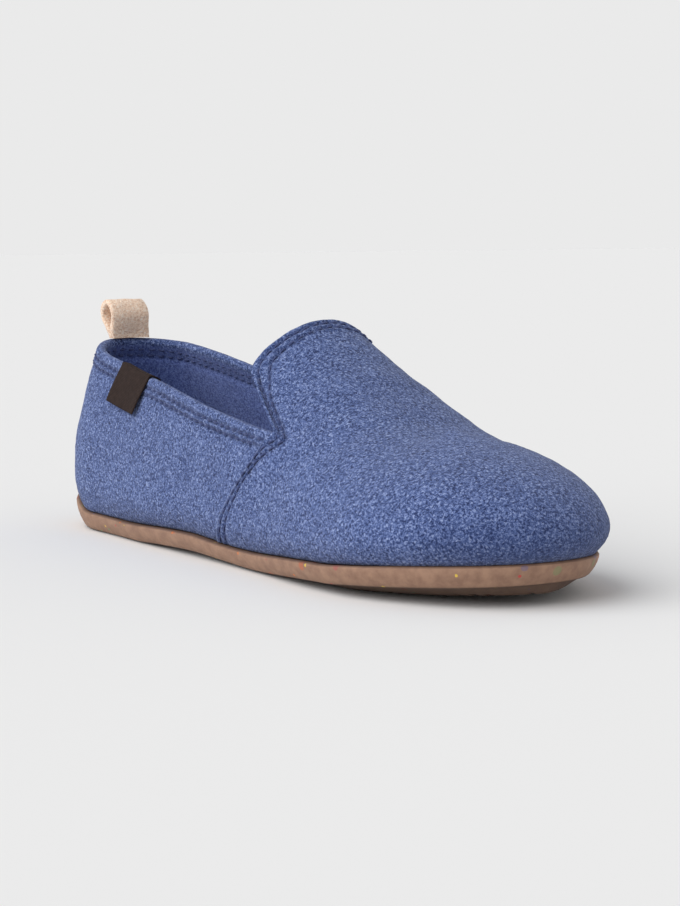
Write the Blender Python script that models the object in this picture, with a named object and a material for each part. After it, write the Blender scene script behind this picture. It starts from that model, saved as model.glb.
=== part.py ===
"""Felt house slipper for the right foot: outsole, insole, upper, heel loop and side label.

The heel's back is at X = 0 and the toe points to +X, the outer side of the foot is -Y, and the
sole stands on Z = 0. The last (the foot-shaped form that the upper is pulled over) is a dome over
the sole's outline. Each place on it has two numbers: how far along the sole it lies, in metres, and
how far across, from 0 on the ridge to 1 at the edge. Columns run up the dome from the edge to the
opening, and the upper, insole and label are all cut from them.
"""
import math
from collections import namedtuple

import bmesh
import bpy
from mathutils import Vector

# Sole, in metres
SOLE_LENGTH = 0.283
BALL_WIDTH = 0.097
HEEL_WIDTH = 0.0636
HEEL_ROUND = 0.039
TOE_ROUND = 0.065
SOLE_SIDE = 0.007
ARCH_RISE = 0.0014
TOE_SPRING = 0.0046
EDGE_LIFT = 0.0030
EDGE_BEVEL = 0.012
SIDE_TAPER = 0.0035
LIP_ROUND = 0.0008
OUTLINE_SWAY = 0.004
SOLE_TRIM = 0.0033

# Upper, in metres
WALL = 0.0032
CROWN_HEIGHT = 0.0925
TOE_HEIGHT = 0.0326
COLLAR_HEIGHT = 0.0757
NOTCH_HEIGHT = 0.0478
FEATHER_INSET = 0.003
FELT_BULGE = 0.0038
BULGE_RISE = 0.011
HEEL_LEAN = 0.0042
SIDE_LEAN = 0.0042
LEAN_RISE = 0.050
CREST_SHIFT = 0.005
HEM_DEPTH = 0.0072
HEM_STEP = 0.0007
LAP_STEP = 0.0011
STEP_RUN = 0.0008
RIM_ROUND = 0.0011
SEAM_BOW = 0.002

# Insole, heel loop and label, in metres
INSOLE_THICKNESS = 0.005
STRAP_WIDTH = 0.0168
STRAP_THICKNESS = 0.0021
LOOP_HEIGHT = 0.0155
LOOP_DEPTH = 0.0111
LABEL_WIDTH = 0.0250
LABEL_FRONT_DROP = 0.0160
LABEL_BACK_DROP = 0.012
LABEL_THICKNESS = 0.0008
LABEL_PLACE = 0.051
LABEL_SLANT = 0.06
CLEARANCE = 0.0003

# Shapes of the outline and of the dome's section
HEEL_POWER = 2.1
TOE_POWER = 2.2
HEEL_SHARE = 0.18
TOE_SHARE = 0.72
STRAP_WIDEST = 0.62
STRAP_SEWN = 0.22
STRAP_STRAIGHT = 0.45
STRAP_LEAN = 0.002
HOLE_DROP = 1.25
WAIST_TAPER = 0.3
INSOLE_WRAP = 0.55
LEAN_FADE_FROM = 0.30
LEAN_FADE_OVER = 0.25
SEAM_FOOT_ALONG = 0.480
NOTCH_ALONG = 0.606
LAP_FADE = 0.30

# Fineness of the meshes
SOLE_STATIONS = 60
QUARTER_COLUMNS = 20
VAMP_COLUMNS = 22
LOWER_ROWS = (0.0, 0.0015, 0.004, 0.008, 0.014)
BODY_ROWS = 11
INNER_ROWS = 13
ROW_CROWDING = 1.3
COLUMN_SAMPLES = 40
LOOP_STEPS = 14
STRAP_ROWS = 6
LABEL_COLUMNS = 6
NORMAL_REACH = 0.985
NORMAL_STEP = 0.0006
NORMAL_TURN = 0.006
RIM_SEARCH = 0.01
MERGE = 0.000002
TINY = 0.000001

# The outline from heel to toe: how far the middle line swings inwards (a share of OUTLINE_SWAY), how
# far the width has gone from the heel's (0) to the ball's (1), how far inside the outline the felt's
# foot stands (a share of FEATHER_INSET), how far the felt bulges out above its foot (a share of
# FELT_BULGE), and how far inside the outline the rubber is cut (a share of SOLE_TRIM)
Plan = namedtuple("Plan", "along sway spread feather bulge trim")
PLAN = [
    Plan(0.00, -0.60, -0.04, 0.35, 0.50, 0.00),
    Plan(0.14, -0.62, -0.02, 0.55, 0.64, 0.00),
    Plan(0.28, -0.90, 0.08, 1.00, 1.00, 0.00),
    Plan(0.42, -0.70, 0.23, 1.00, 1.00, 0.00),
    Plan(0.52, -0.10, 0.46, 1.00, 1.00, 0.00),
    Plan(0.62, 0.50, 0.75, 1.00, 1.00, 0.00),
    Plan(0.70, 0.65, 0.94, 1.00, 1.00, 0.00),
    Plan(0.78, 0.55, 1.00, 1.08, 1.10, 0.20),
    Plan(0.90, 0.40, 0.90, 1.36, 1.55, 0.95),
    Plan(1.00, 0.32, 0.78, 1.38, 1.57, 1.00),
]

# The sole from heel to toe: shares of ARCH_RISE and TOE_SPRING under it, of EDGE_LIFT at its lower
# edge, and of SOLE_SIDE for the height of its side
Sole = namedtuple("Sole", "along arch spring edge side")
SOLE = [
    Sole(0.00, 0.00, 0.00, 0.20, 2.00),
    Sole(0.03, 0.00, 0.00, 0.14, 1.84),
    Sole(0.07, 0.00, 0.00, 0.08, 1.58),
    Sole(0.12, 0.00, 0.00, 0.08, 1.07),
    Sole(0.24, 0.00, 0.00, 0.10, 1.00),
    Sole(0.33, 0.65, 0.00, 0.12, 0.98),
    Sole(0.41, 1.00, 0.00, 0.12, 0.98),
    Sole(0.50, 0.40, 0.00, 0.15, 0.93),
    Sole(0.57, 0.00, 0.00, 0.20, 0.96),
    Sole(0.70, 0.00, 0.00, 0.80, 0.97),
    Sole(0.74, 0.00, 0.00, 0.95, 0.97),
    Sole(0.80, 0.00, 0.22, 1.00, 0.99),
    Sole(0.90, 0.00, 0.57, 1.00, 1.08),
    Sole(1.00, 0.00, 1.00, 0.90, 1.09),
]

# The last's sections: the ridge's height as a share of the way from TOE_HEIGHT (0) to CROWN_HEIGHT
# (1), the power of the section's curve, 2 for an ellipse and more for a squarer one, and how far
# the ridge stands to the inner side, as a share of CREST_SHIFT
Ridge = namedtuple("Ridge", "along height power crest")
RIDGE = [
    Ridge(0.00, 0.990, 2.40, 0.0),
    Ridge(0.12, 1.000, 2.40, 0.0),
    Ridge(0.26, 1.000, 2.38, 0.2),
    Ridge(0.40, 0.958, 2.28, 0.7),
    Ridge(0.50, 0.800, 2.18, 1.0),
    Ridge(0.60, 0.503, 2.20, 1.0),
    Ridge(0.70, 0.238, 2.32, 0.8),
    Ridge(0.80, 0.070, 2.42, 0.4),
    Ridge(0.90, 0.015, 2.42, 0.1),
    Ridge(1.00, 0.000, 2.42, 0.0),
]

# The collar's edge, as a share of the way from NOTCH_HEIGHT (0) to COLLAR_HEIGHT (1), and how much
# lower it dips on the outer side, in the same shares
Collar = namedtuple("Collar", "along height dip")
COLLAR = [
    Collar(0.00, 1.000, 0.00),
    Collar(0.04, 0.970, 0.00),
    Collar(0.08, 0.930, 0.05),
    Collar(0.13, 0.870, 0.10),
    Collar(0.20, 0.760, 0.11),
    Collar(0.30, 0.550, 0.05),
    Collar(0.45, 0.240, 0.00),
    Collar(0.62, 0.000, 0.00),
]

# The tongue's edge from the notch, over its rounded corner, to the middle of its top: along the
# sole and across the dome, for each share of the way
Tongue = namedtuple("Tongue", "way along across")
TONGUE = [
    Tongue(0.00, 0.606, 0.600),
    Tongue(0.20, 0.573, 0.560),
    Tongue(0.38, 0.531, 0.508),
    Tongue(0.50, 0.498, 0.450),
    Tongue(0.58, 0.492, 0.380),
    Tongue(0.70, 0.497, 0.270),
    Tongue(0.85, 0.506, 0.130),
    Tongue(1.00, 0.509, 0.000),
]


class Curve:
    """A smooth curve through one column of a table, which never swings past its rows."""

    def __init__(self, rows, column, key="along"):
        self.keys = [getattr(row, key) for row in rows]
        self.values = [getattr(row, column) for row in rows]
        slopes = []
        for here, there, low, high in zip(self.keys, self.keys[1:], self.values, self.values[1:]):
            slopes.append((high - low) / (there - here))
        self.tangents = [slopes[0]]
        for before, after in zip(slopes, slopes[1:]):
            level = before * after <= 0
            self.tangents.append(0.0 if level else 2 * before * after / (before + after))
        self.tangents.append(slopes[-1])

    def __call__(self, key):
        key = min(max(key, self.keys[0]), self.keys[-1])
        index = 0
        while key > self.keys[index + 1]:
            index += 1
        span = self.keys[index + 1] - self.keys[index]
        part = (key - self.keys[index]) / span
        rest = 1 - part
        return (
            self.values[index] * (1 + 2 * part) * rest * rest
            + self.tangents[index] * span * part * rest * rest
            + self.values[index + 1] * (3 - 2 * part) * part * part
            - self.tangents[index + 1] * span * part * part * rest
        )


SWAY = Curve(PLAN, "sway")
SPREAD = Curve(PLAN, "spread")
FEATHER = Curve(PLAN, "feather")
BULGE = Curve(PLAN, "bulge")
TRIM = Curve(PLAN, "trim")
ARCH = Curve(SOLE, "arch")
SPRING = Curve(SOLE, "spring")
EDGE = Curve(SOLE, "edge")
SIDE = Curve(SOLE, "side")
RIDGE_HEIGHT = Curve(RIDGE, "height")
SECTION_POWER = Curve(RIDGE, "power")
CREST = Curve(RIDGE, "crest")
COLLAR_EDGE = Curve(COLLAR, "height")
COLLAR_DIP = Curve(COLLAR, "dip")
TONGUE_ALONG = Curve(TONGUE, "along", "way")
TONGUE_ACROSS = Curve(TONGUE, "across", "way")
HEEL_POLE = HEEL_ROUND
TOE_POLE = SOLE_LENGTH - TOE_ROUND


def middle(x):
    """Y of the sole's middle line."""
    return OUTLINE_SWAY * SWAY(x / SOLE_LENGTH)


def half_width(x):
    """Half the width of the sole, before its ends are rounded."""
    return (HEEL_WIDTH + (BALL_WIDTH - HEEL_WIDTH) * SPREAD(x / SOLE_LENGTH)) / 2


def tread_height(x):
    """Height of the sole's underside, which is 0 under the heel and the ball."""
    share = x / SOLE_LENGTH
    return ARCH_RISE * ARCH(share) + TOE_SPRING * SPRING(share)


def edge_height(x):
    """Height of the lower edge of the sole's side."""
    return tread_height(x) + EDGE_LIFT * EDGE(x / SOLE_LENGTH)


def sole_top(x):
    """Height of the upper edge of the sole's side."""
    return edge_height(x) + SOLE_SIDE * SIDE(x / SOLE_LENGTH)


def round_end(along):
    """Pole, length, power and direction of the rounded end that a place lies in."""
    if along < HEEL_POLE:
        return HEEL_POLE, HEEL_ROUND, HEEL_POWER, -1
    if along > TOE_POLE:
        return TOE_POLE, TOE_ROUND, TOE_POWER, 1
    return along, 1.0, 2.0, 0


def outline_place(share, side):
    """Place on the outline, from the heel's back at share 0 to the toe's tip at 1."""
    if share < HEEL_SHARE:
        turn = share / HEEL_SHARE * math.pi / 2
        along = HEEL_POLE - HEEL_ROUND * max(math.cos(turn), 0) ** (2 / HEEL_POWER)
        return along, side * math.sin(turn) ** (2 / HEEL_POWER)
    if share > TOE_SHARE:
        turn = (1 - share) / (1 - TOE_SHARE) * math.pi / 2
        along = TOE_POLE + TOE_ROUND * max(math.cos(turn), 0) ** (2 / TOE_POWER)
        return along, side * math.sin(turn) ** (2 / TOE_POWER)
    part = (share - HEEL_SHARE) / (TOE_SHARE - HEEL_SHARE)
    return HEEL_POLE + (TOE_POLE - HEEL_POLE) * part, side


def outline_share(along):
    """Share of the outline at a place along its straight stretch."""
    part = (along - HEEL_POLE) / (TOE_POLE - HEEL_POLE)
    return HEEL_SHARE + (TOE_SHARE - HEEL_SHARE) * part


def outline_point(share, side, inset):
    """Point in plan on the rubber's edge, moved inwards by inset."""
    along, across = outline_place(share, side)
    pole, _, _, _ = round_end(along)
    pole = min(max(pole, HEEL_POLE), TOE_POLE)
    edge = Vector((along, middle(along) + half_width(along) * across, 0))
    inwards = Vector((pole if along < HEEL_POLE or along > TOE_POLE else along, middle(pole), 0)) - edge
    return edge + inwards.normalized() * (inset + SOLE_TRIM * TRIM(along / SOLE_LENGTH))


def dome(along, across):
    """Point of the last's surface over a place."""
    pole, length, power, sign = round_end(along)
    reach = abs(along - pole) / length
    radius = max((reach ** power + abs(across) ** power) ** (1 / power), TINY)
    turn = min(radius, 1) * math.pi / 2
    share = (pole + sign * length * reach / radius) / SOLE_LENGTH
    feather = FEATHER_INSET * FEATHER(share)
    edge_x = pole + sign * (length - feather) * reach / radius
    section = 2 / SECTION_POWER(edge_x / SOLE_LENGTH)
    swell = math.sin(turn) ** section
    level = max(math.cos(turn), 0) ** section
    x = pole + (edge_x - pole) * swell
    half = (half_width(x) - feather) * across / radius
    outwards = Vector((edge_x - pole, half, 0)).normalized()
    rise = (TOE_HEIGHT + (CROWN_HEIGHT - TOE_HEIGHT) * RIDGE_HEIGHT(x / SOLE_LENGTH)) * level
    bulge = FELT_BULGE * BULGE(share) * (1 - max(1 - rise / BULGE_RISE, 0) ** 2)
    heelwards = max(-outwards.x, 0)
    fade = min(max(1 - (edge_x / SOLE_LENGTH - LEAN_FADE_FROM) / LEAN_FADE_OVER, 0), 1)
    lean = HEEL_LEAN * heelwards + SIDE_LEAN * (1 - heelwards) * fade
    push = (bulge - lean * (rise / LEAN_RISE) ** 2) * swell
    y = middle(x) + half * swell + CREST_SHIFT * CREST(x / SOLE_LENGTH) * level
    point = Vector((x, y, sole_top(edge_x) + CLEARANCE + rise))
    return point + outwards * push


def dome_normal(along, across):
    """Direction that points out of the last's surface at a place."""
    pole, length, power, _ = round_end(along)
    radius = ((abs(along - pole) / length) ** power + abs(across) ** power) ** (1 / power)
    if radius > NORMAL_REACH:
        along = pole + (along - pole) * NORMAL_REACH / radius
        across = across * NORMAL_REACH / radius
    forwards = dome(along + NORMAL_STEP, across) - dome(along - NORMAL_STEP, across)
    sideways = dome(along, across + NORMAL_TURN) - dome(along, across - NORMAL_TURN)
    return forwards.cross(sideways).normalized()


def collar_radius(share, side):
    """How far from the ridge the collar's edge cuts the dome, on the way up from a share."""
    along, across = outline_place(share, side)
    pole, _, _, _ = round_end(along)
    span = COLLAR_HEIGHT - NOTCH_HEIGHT
    low, high = 0.2, 1.0
    for _ in range(30):
        radius = (low + high) / 2
        point = dome(pole + (along - pole) * radius, across * radius)
        place = point.x / SOLE_LENGTH
        dip = COLLAR_DIP(place) * max(-side, 0)
        wanted = NOTCH_HEIGHT + span * (COLLAR_EDGE(place) - dip)
        low, high = (radius, high) if point.z > wanted else (low, radius)
    return radius


class Column:
    """A line up the outside of the last, from the sole to the opening's edge.

    Its way is 0 at the heel's back, 1 on the side seam and 2 along the ridge of the toe.
    """

    def __init__(self, way, side):
        seam = outline_share(SEAM_FOOT_ALONG * SOLE_LENGTH)
        if way <= 1:
            self.foot = outline_place(way * seam, side)
            share = way * outline_share(NOTCH_ALONG * SOLE_LENGTH)
            along, across = outline_place(share, side)
            pole, _, _, _ = round_end(along)
            radius = collar_radius(share, side)
            self.rim = (pole + (along - pole) * radius, across * radius)
            self.bow = SEAM_BOW * way * way
        else:
            part = way - 1
            self.foot = outline_place(seam + (1 - seam) * part, side)
            notch = collar_radius(outline_share(NOTCH_ALONG * SOLE_LENGTH), side)
            across = TONGUE_ACROSS(part) / TONGUE_ACROSS(0) * notch
            self.rim = (TONGUE_ALONG(part) * SOLE_LENGTH, side * across)
            self.bow = SEAM_BOW * max(1 - part / LAP_FADE, 0)
        self.marks = [0.0]
        last = dome(*self.place_at(0))
        for sample in range(1, COLUMN_SAMPLES + 1):
            point = dome(*self.place_at(sample / COLUMN_SAMPLES))
            self.marks.append(self.marks[-1] + (point - last).length)
            last = point
        self.length = self.marks[-1]

    def place_at(self, part):
        """Place on the dome at a share of the way from the foot to the rim."""
        along = self.foot[0] + (self.rim[0] - self.foot[0]) * part
        across = self.foot[1] + (self.rim[1] - self.foot[1]) * part
        return along + self.bow * math.sin(math.pi * part), across

    def place(self, distance):
        """Place on the dome at a distance up from the foot."""
        distance = min(max(distance, 0), self.length)
        index = 0
        while index < COLUMN_SAMPLES - 1 and self.marks[index + 1] < distance:
            index += 1
        span = self.marks[index + 1] - self.marks[index]
        return self.place_at((index + (distance - self.marks[index]) / span) / COLUMN_SAMPLES)

    def point(self, distance, lift):
        """Point at a distance up from the foot, lifted off the last; past the rim it goes straight on."""
        place = self.place(distance)
        normal = dome_normal(*place)
        if distance <= 0:
            normal = Vector((normal.x, normal.y, 0)).normalized()
        point = dome(*place) + normal * lift
        if distance > self.length:
            below = dome(*self.place(self.length - STEP_RUN))
            point += (dome(*place) - below).normalized() * (distance - self.length)
        return point


def column_ways():
    """Ways of the columns from heel to toe, with a narrow pair of them on the side seam."""
    ways = [step / QUARTER_COLUMNS for step in range(QUARTER_COLUMNS + 1)]
    seam = outline_share(SEAM_FOOT_ALONG * SOLE_LENGTH)
    narrow = STEP_RUN / (SOLE_LENGTH * (1 - seam))
    ways.append(1 + narrow)
    ways += [1 + step / VAMP_COLUMNS for step in range(1, VAMP_COLUMNS + 1)]
    return ways


def material(name, colour, roughness):
    """Plain Principled material."""
    shade = bpy.data.materials.new(name)
    shade.use_nodes = True
    shader = shade.node_tree.nodes["Principled BSDF"]
    shader.inputs["Base Color"].default_value = (*colour, 1)
    shader.inputs["Roughness"].default_value = roughness
    shader.inputs["Metallic"].default_value = 0
    shade.diffuse_color = (*colour, 1)
    return shade


def mapped_grid(columns, rows, place):
    """Grid of faces whose corner at each column and row is moved to its place."""
    mesh = bmesh.new()
    bmesh.ops.create_grid(mesh, x_segments=columns, y_segments=rows, size=0.5)
    for vertex in mesh.verts:
        column = round((vertex.co.x + 0.5) * columns)
        row = round((vertex.co.y + 0.5) * rows)
        vertex.co = place(column, row)
    bmesh.ops.remove_doubles(mesh, verts=mesh.verts, dist=MERGE)
    bmesh.ops.recalc_face_normals(mesh, faces=mesh.faces)
    return mesh


def add_piece(name, mesh, shade, root, sharp_angle=math.radians(35)):
    """Object for one piece, shaded smooth away from its sharp edges."""
    data = bpy.data.meshes.new(name)
    mesh.to_mesh(data)
    mesh.free()
    data.materials.append(shade)
    data.shade_smooth()
    data.set_sharp_from_angle(angle=sharp_angle)
    piece = bpy.data.objects.new(name, data)
    bpy.context.scene.collection.objects.link(piece)
    piece.parent = root
    return piece


def outsole_rings():
    """Insets of the outsole's side, top to bottom, each with the height that it lies at."""
    def lip(x):
        return sole_top(x) - LIP_ROUND

    def waist(x):
        return (sole_top(x) + edge_height(x)) / 2

    def lower(x):
        return edge_height(x) + LIP_ROUND

    return [
        (LIP_ROUND, sole_top),
        (0.0, lip),
        (SIDE_TAPER * WAIST_TAPER, waist),
        (SIDE_TAPER, lower),
        (SIDE_TAPER + LIP_ROUND, edge_height),
        (SIDE_TAPER + EDGE_BEVEL, tread_height),
    ]


def build_outsole(root):
    """Rubber sole: flat under heel and ball, arched between, with toe spring and tapered sides."""
    rings = outsole_rings()
    count = len(rings)
    # round the section: down the outer side, across underneath, up the inner side, across the top
    section = [(-1, ring) for ring in rings] + [(0, rings[-1])]
    section += [(1, ring) for ring in reversed(rings)] + [(0, rings[0])]

    def place(column, row):
        side, (inset, height) = section[row % len(section)]
        share = column / SOLE_STATIONS
        if side:
            point = outline_point(share, side, inset)
        else:
            point = (outline_point(share, -1, inset) + outline_point(share, 1, inset)) / 2
        ringed = side and row % len(section) not in (count - 1, count + 1)
        edge = outline_place(share, 1)[0] if ringed else point.x
        point.z = height(edge)
        return point

    mesh = mapped_grid(SOLE_STATIONS, len(section), place)
    shade = material("rubber", (0.25, 0.165, 0.13), 0.6)
    return add_piece("outsole", mesh, shade, root)


def build_insole(root):
    """Felt-covered footbed that fills the bottom of the upper."""
    lift = -(WALL + CLEARANCE)
    columns = {}
    for side in (-1, 1):
        columns[side] = [Column(way, side) for way in column_ways()]
    # each ring has a distance up the wall and a height over the sole
    low = (0.0, CLEARANCE)
    high = (INSOLE_THICKNESS * INSOLE_WRAP, CLEARANCE + INSOLE_THICKNESS)
    section = [(-1, high), (-1, low), (0, low), (1, low), (1, high), (0, high)]

    def place(column, row):
        side, (distance, height) = section[row % len(section)]
        if side:
            point = columns[side][column].point(distance, lift)
        else:
            point = (columns[-1][column].point(distance, lift) + columns[1][column].point(distance, lift)) / 2
        point.z = sole_top(point.x) + height
        return point

    mesh = mapped_grid(len(columns[1]) - 1, len(section), place)
    shade = material("insole_felt", (0.09, 0.11, 0.2), 0.95)
    return add_piece("insole", mesh, shade, root)


def lap(way):
    """How far the vamp stands proud where it laps over the quarter."""
    return 0.0 if way <= 1 else LAP_STEP * max(1 - (way - 1) / LAP_FADE, 0) ** 2


def upper_section(column, way):
    """Distance and lift of each row round the wall: up the outside, over the rim, down the inside."""
    top = column.length
    proud = lap(way)
    rows = [(distance, proud) for distance in LOWER_ROWS]
    first = LOWER_ROWS[-1]
    hem = top - HEM_DEPTH
    for row in range(1, BODY_ROWS + 1):
        share = (row / BODY_ROWS) ** ROW_CROWDING
        rows.append((first + (hem - first) * share, proud))
    hem_lift = max(HEM_STEP, proud)
    rows.append((hem + STEP_RUN, hem_lift))
    rows.append((top - RIM_ROUND, hem_lift))
    rows.append((top, hem_lift - RIM_ROUND))
    rows.append((top, RIM_ROUND - WALL))
    rows.append((top - RIM_ROUND, -WALL))
    for row in range(1, INNER_ROWS):
        share = (1 - row / INNER_ROWS) ** ROW_CROWDING
        rows.append(((top - RIM_ROUND) * share, -WALL))
    rows.append((0.0, -WALL))
    return rows


def build_upper(root):
    """Felt upper: one hollow wall, open at the collar and underneath, with stepped hem and seams."""
    ways = column_ways()
    loop = [(way, -1) for way in ways] + [(way, 1) for way in reversed(ways)][1:]
    grid = []
    for way, side in loop:
        column = Column(way, side)
        grid.append([column.point(*row) for row in upper_section(column, way)])
    rows = len(grid[0])
    mesh = mapped_grid(len(grid) - 1, rows, lambda column, row: grid[column][row % rows])
    shade = material("felt", (0.13, 0.19, 0.44), 0.95)
    return add_piece("upper", mesh, shade, root)


def heel_rim():
    """Middle of the rim at the heel's back, its highest point, and how far it curves under the strap."""
    line = Column(0.0, -1)
    back = line.point(line.length, (HEM_STEP - WALL) / 2)
    way = 0.0
    edge = back
    heights = []
    while abs(edge.y - back.y) < STRAP_WIDTH / 2:
        way += RIM_SEARCH
        line = Column(way, -1)
        edge = line.point(line.length, (HEM_STEP - WALL) / 2)
        heights.append(line.point(line.length - RIM_ROUND, HEM_STEP).z)
        heights.append(line.point(line.length, HEM_STEP - RIM_ROUND).z)
    return Vector((back.x, back.y, max(heights))), edge.x - back.x


def strap_depth(height):
    """Half the folded strap's depth at a share of its height: two layers below, a round top above."""
    if height < STRAP_WIDEST:
        part = height / STRAP_WIDEST
        return STRAP_THICKNESS + (LOOP_DEPTH / 2 - STRAP_THICKNESS) * part * part * (3 - 2 * part)
    part = (height - STRAP_WIDEST) / (1 - STRAP_WIDEST)
    return LOOP_DEPTH / 2 * math.sqrt(max(1 - part * part, 0))


def strap_profile(step):
    """Outer and inner points, in X and Z, on one side of the folded strap, from bottom to top."""
    share = (1 - math.cos(math.pi * step / LOOP_STEPS)) / 2
    outer = Vector((strap_depth(share), LOOP_HEIGHT * share))
    low = STRAP_SEWN * LOOP_HEIGHT
    high = LOOP_HEIGHT - STRAP_THICKNESS
    height = low + (high - low) * share
    # the hole is a drop: pointed where the layers part, round under the top of the fold
    width = LOOP_DEPTH / 2 - STRAP_THICKNESS
    inner = Vector((width * math.sin(math.pi * share ** HOLE_DROP), height))
    return outer, inner


def build_pull_loop(root):
    """Heel loop: a strap folded over, with its two ends together on top of the collar's rim."""
    top, bend = heel_rim()
    half = STRAP_WIDTH / 2
    steps = [(1, step) for step in range(LOOP_STEPS + 1)]
    steps += [(-1, step) for step in reversed(range(LOOP_STEPS))]

    def place(column, row):
        sign, step = steps[column % len(steps)]
        outer, inner = strap_profile(step)
        section = [(-half, outer), (0, outer), (half, outer), (half, inner), (0, inner), (-half, inner)]
        y, profile = section[row % STRAP_ROWS]
        # the strap follows the rim's curve where it is sewn, and is straight further up
        curve = bend * max(1 - profile.y / (STRAP_STRAIGHT * LOOP_HEIGHT), 0)
        x = top.x + sign * profile.x + curve * (y / half) ** 2 - STRAP_LEAN * profile.y / LOOP_HEIGHT
        return Vector((x, top.y + y, top.z + CLEARANCE + profile.y))

    mesh = mapped_grid(len(steps), STRAP_ROWS, place)
    shade = material("strap_felt", (0.48, 0.37, 0.30), 0.95)
    return add_piece("pull_loop", mesh, shade, root)


def build_side_label(root):
    """Ribbon label folded over the collar's rim on the outer side."""
    start = outline_share(LABEL_PLACE) / outline_share(NOTCH_ALONG * SOLE_LENGTH)
    end = outline_share(LABEL_PLACE + LABEL_WIDTH) / outline_share(NOTCH_ALONG * SOLE_LENGTH)
    front = HEM_STEP + CLEARANCE + LABEL_THICKNESS
    back = -(WALL + CLEARANCE + LABEL_THICKNESS)
    over = CLEARANCE + LABEL_THICKNESS
    # distance past the rim and lift of each fold line, from the outside's lower edge to the inside's
    folds = [
        (-LABEL_FRONT_DROP, front),
        (-LABEL_FRONT_DROP / 2, front),
        (0.0, front),
        (over, front - over),
        (over, back + over),
        (0.0, back),
        (-LABEL_BACK_DROP, back),
    ]

    def place(column, row):
        distance, lift = folds[row]
        slant = min(distance, 0) * LABEL_SLANT / (NOTCH_ALONG * SOLE_LENGTH)
        line = Column(start + (end - start) * column / LABEL_COLUMNS + slant, -1)
        return line.point(line.length + distance, lift)

    mesh = mapped_grid(LABEL_COLUMNS, len(folds) - 1, place)
    shade = material("label_ribbon", (0.05, 0.045, 0.055), 0.85)
    piece = add_piece("side_label", mesh, shade, root)
    solid = piece.modifiers.new("thickness", "SOLIDIFY")
    solid.thickness = LABEL_THICKNESS
    solid.offset = -1
    return piece


def main():
    """Build every piece under one empty that puts the model's bottom centre at the origin."""
    for item in list(bpy.data.objects):
        bpy.data.objects.remove(item)
    root = bpy.data.objects.new("slipper", None)
    bpy.context.scene.collection.objects.link(root)
    pieces = [
        build_outsole(root),
        build_insole(root),
        build_upper(root),
        build_pull_loop(root),
        build_side_label(root),
    ]
    corners = [vertex.co for piece in pieces for vertex in piece.data.vertices]
    low = Vector(min(corner[axis] for corner in corners) for axis in range(3))
    high = Vector(max(corner[axis] for corner in corners) for axis in range(3))
    root.location = (-(low.x + high.x) / 2, -(low.y + high.y) / 2, -low.z)


main()
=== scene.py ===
"""Looks of the felt slipper for the right foot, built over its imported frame.

The heel's back is at X = 0 on the last and the toe points to +X, as in the part's own source. Each
place on the last has two numbers: how far along the sole it lies, in metres, and how far across,
from 0 on the ridge to 1 at the edge. Columns run up the last from the sole to the opening, and
every felt piece, seam and stitch is placed on them. SHIFT then moves all of it onto the frame.
"""
import math
from collections import namedtuple

import bmesh
import bpy
from mathutils import Matrix, Vector, kdtree, noise


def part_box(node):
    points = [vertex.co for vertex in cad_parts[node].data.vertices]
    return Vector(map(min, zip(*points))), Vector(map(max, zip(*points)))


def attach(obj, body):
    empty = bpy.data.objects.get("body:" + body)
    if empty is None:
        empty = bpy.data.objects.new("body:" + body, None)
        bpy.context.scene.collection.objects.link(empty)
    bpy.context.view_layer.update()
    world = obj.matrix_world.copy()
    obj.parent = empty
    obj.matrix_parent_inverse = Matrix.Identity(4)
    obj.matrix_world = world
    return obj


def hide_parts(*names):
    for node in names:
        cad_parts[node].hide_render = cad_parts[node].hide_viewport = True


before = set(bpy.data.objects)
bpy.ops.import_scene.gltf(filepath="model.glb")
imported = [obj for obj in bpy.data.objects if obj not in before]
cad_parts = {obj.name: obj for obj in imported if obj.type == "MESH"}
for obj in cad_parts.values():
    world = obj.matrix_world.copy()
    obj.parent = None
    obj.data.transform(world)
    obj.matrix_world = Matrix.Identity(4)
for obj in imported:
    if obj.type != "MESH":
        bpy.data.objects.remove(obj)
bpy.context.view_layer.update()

# Sole, in metres
SOLE_LENGTH = 0.283
BALL_WIDTH = 0.097
HEEL_WIDTH = 0.0636
HEEL_ROUND = 0.039
TOE_ROUND = 0.065
SOLE_SIDE = 0.007
ARCH_RISE = 0.0014
TOE_SPRING = 0.0046
EDGE_LIFT = 0.0030
EDGE_BEVEL = 0.012
SIDE_TAPER = 0.0035
LIP_ROUND = 0.0008
OUTLINE_SWAY = 0.004
SOLE_TRIM = 0.0033

# Upper, in metres
WALL = 0.0032
CROWN_HEIGHT = 0.0925
TOE_HEIGHT = 0.0326
COLLAR_HEIGHT = 0.0757
NOTCH_HEIGHT = 0.0478
FEATHER_INSET = 0.003
FELT_BULGE = 0.0038
BULGE_RISE = 0.011
HEEL_LEAN = 0.0042
SIDE_LEAN = 0.0042
LEAN_RISE = 0.050
CREST_SHIFT = 0.005
HEM_DEPTH = 0.0072
HEM_STEP = 0.0007
LAP_STEP = 0.0011
STEP_RUN = 0.0008
RIM_ROUND = 0.0011
SEAM_BOW = 0.003

# Insole, heel loop and label, in metres
INSOLE_THICKNESS = 0.005
STRAP_WIDTH = 0.0168
STRAP_THICKNESS = 0.0021
LOOP_HEIGHT = 0.0155
LOOP_DEPTH = 0.0111
LABEL_WIDTH = 0.0250
LABEL_FRONT_DROP = 0.0160
LABEL_BACK_DROP = 0.012
LABEL_PLACE = 0.051
LABEL_SLANT = 0.06
CLEARANCE = 0.0003

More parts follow.
